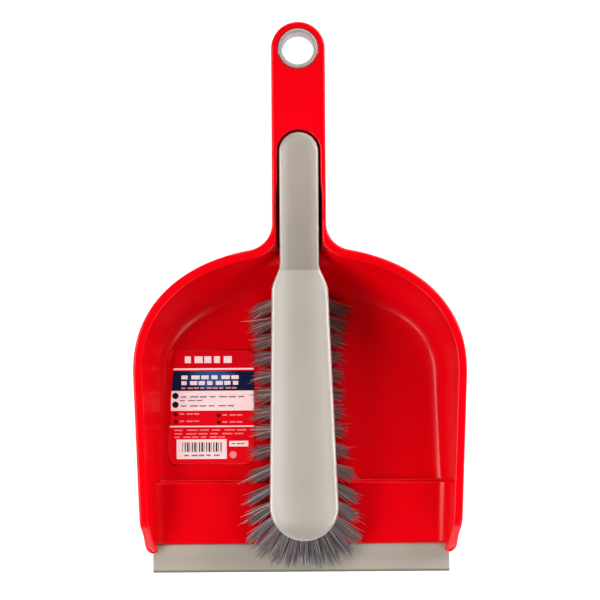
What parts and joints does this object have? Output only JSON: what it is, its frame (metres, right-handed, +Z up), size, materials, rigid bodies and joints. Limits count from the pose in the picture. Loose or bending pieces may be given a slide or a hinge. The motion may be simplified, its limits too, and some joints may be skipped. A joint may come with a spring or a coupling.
{
  "type": "dust pan and brush set",
  "caption": "Wide plastic dust pan with a soft front lip and hanging hole; a hand brush with fanned bristles lies in its handle channel.",
  "frame": {"origin": "middle of the footprint on the ground, under the scoop's rear", "axes": "+Y from the mouth to the end of the handle, +X to the right seen from the mouth, +Z up"},
  "size_m": [0.2064, 0.339, 0.0521],
  "materials": {
    "pan_red": "glossy moulded polypropylene",
    "lip_grey": "matt soft elastomer",
    "ring_grey": "satin moulded plastic",
    "brush_grey": "satin moulded plastic",
    "bristle_grey": "fine flagged filaments",
    "label_print": "printed film label"
  },
  "bodies": {
    "pan": {"pan_body": "pan_red", "rubber_lip": "lip_grey", "hanging_ring": "ring_grey", "label": "label_print"},
    "brush": {"brush_block": "brush_grey", "tuft_end_1": "bristle_grey", "tuft_end_2": "bristle_grey", "tuft_end_3": "bristle_grey", "tuft_end_4": "bristle_grey", "tuft_end_5": "bristle_grey", "tuft_inner_left_1": "bristle_grey", "tuft_inner_left_10": "bristle_grey", "tuft_inner_left_11": "bristle_grey", "tuft_inner_left_2": "bristle_grey", "tuft_inner_left_3": "bristle_grey", "tuft_inner_left_4": "bristle_grey", "tuft_inner_left_5": "bristle_grey", "tuft_inner_left_6": "bristle_grey", "tuft_inner_left_7": "bristle_grey", "tuft_inner_left_8": "bristle_grey", "tuft_inner_left_9": "bristle_grey", "tuft_inner_right_1": "bristle_grey", "tuft_inner_right_10": "bristle_grey", "tuft_inner_right_11": "bristle_grey", "tuft_inner_right_2": "bristle_grey", "tuft_inner_right_3": "bristle_grey", "tuft_inner_right_4": "bristle_grey", "tuft_inner_right_5": "bristle_grey", "tuft_inner_right_6": "bristle_grey", "tuft_inner_right_7": "bristle_grey", "tuft_inner_right_8": "bristle_grey", "tuft_inner_right_9": "bristle_grey", "tuft_left_1": "bristle_grey", "tuft_left_10": "bristle_grey", "tuft_left_11": "bristle_grey", "tuft_left_12": "bristle_grey", "tuft_left_2": "bristle_grey", "tuft_left_3": "bristle_grey", "tuft_left_4": "bristle_grey", "tuft_left_5": "bristle_grey", "tuft_left_6": "bristle_grey", "tuft_left_7": "bristle_grey", "tuft_left_8": "bristle_grey", "tuft_left_9": "bristle_grey", "tuft_right_1": "bristle_grey", "tuft_right_10": "bristle_grey", "tuft_right_11": "bristle_grey", "tuft_right_12": "bristle_grey", "tuft_right_2": "bristle_grey", "tuft_right_3": "bristle_grey", "tuft_right_4": "bristle_grey", "tuft_right_5": "bristle_grey", "tuft_right_6": "bristle_grey", "tuft_right_7": "bristle_grey", "tuft_right_8": "bristle_grey", "tuft_right_9": "bristle_grey", "tuft_end_6": "bristle_grey", "tuft_end_7": "bristle_grey", "tuft_end_8": "bristle_grey", "tuft_end_9": "bristle_grey"}
  },
  "joints": [
    {"name": "brush_lift", "type": "slide", "parent": "pan", "child": "brush", "axis": [0, 0, 1], "range_m": [0, 0.12]}
  ]
}
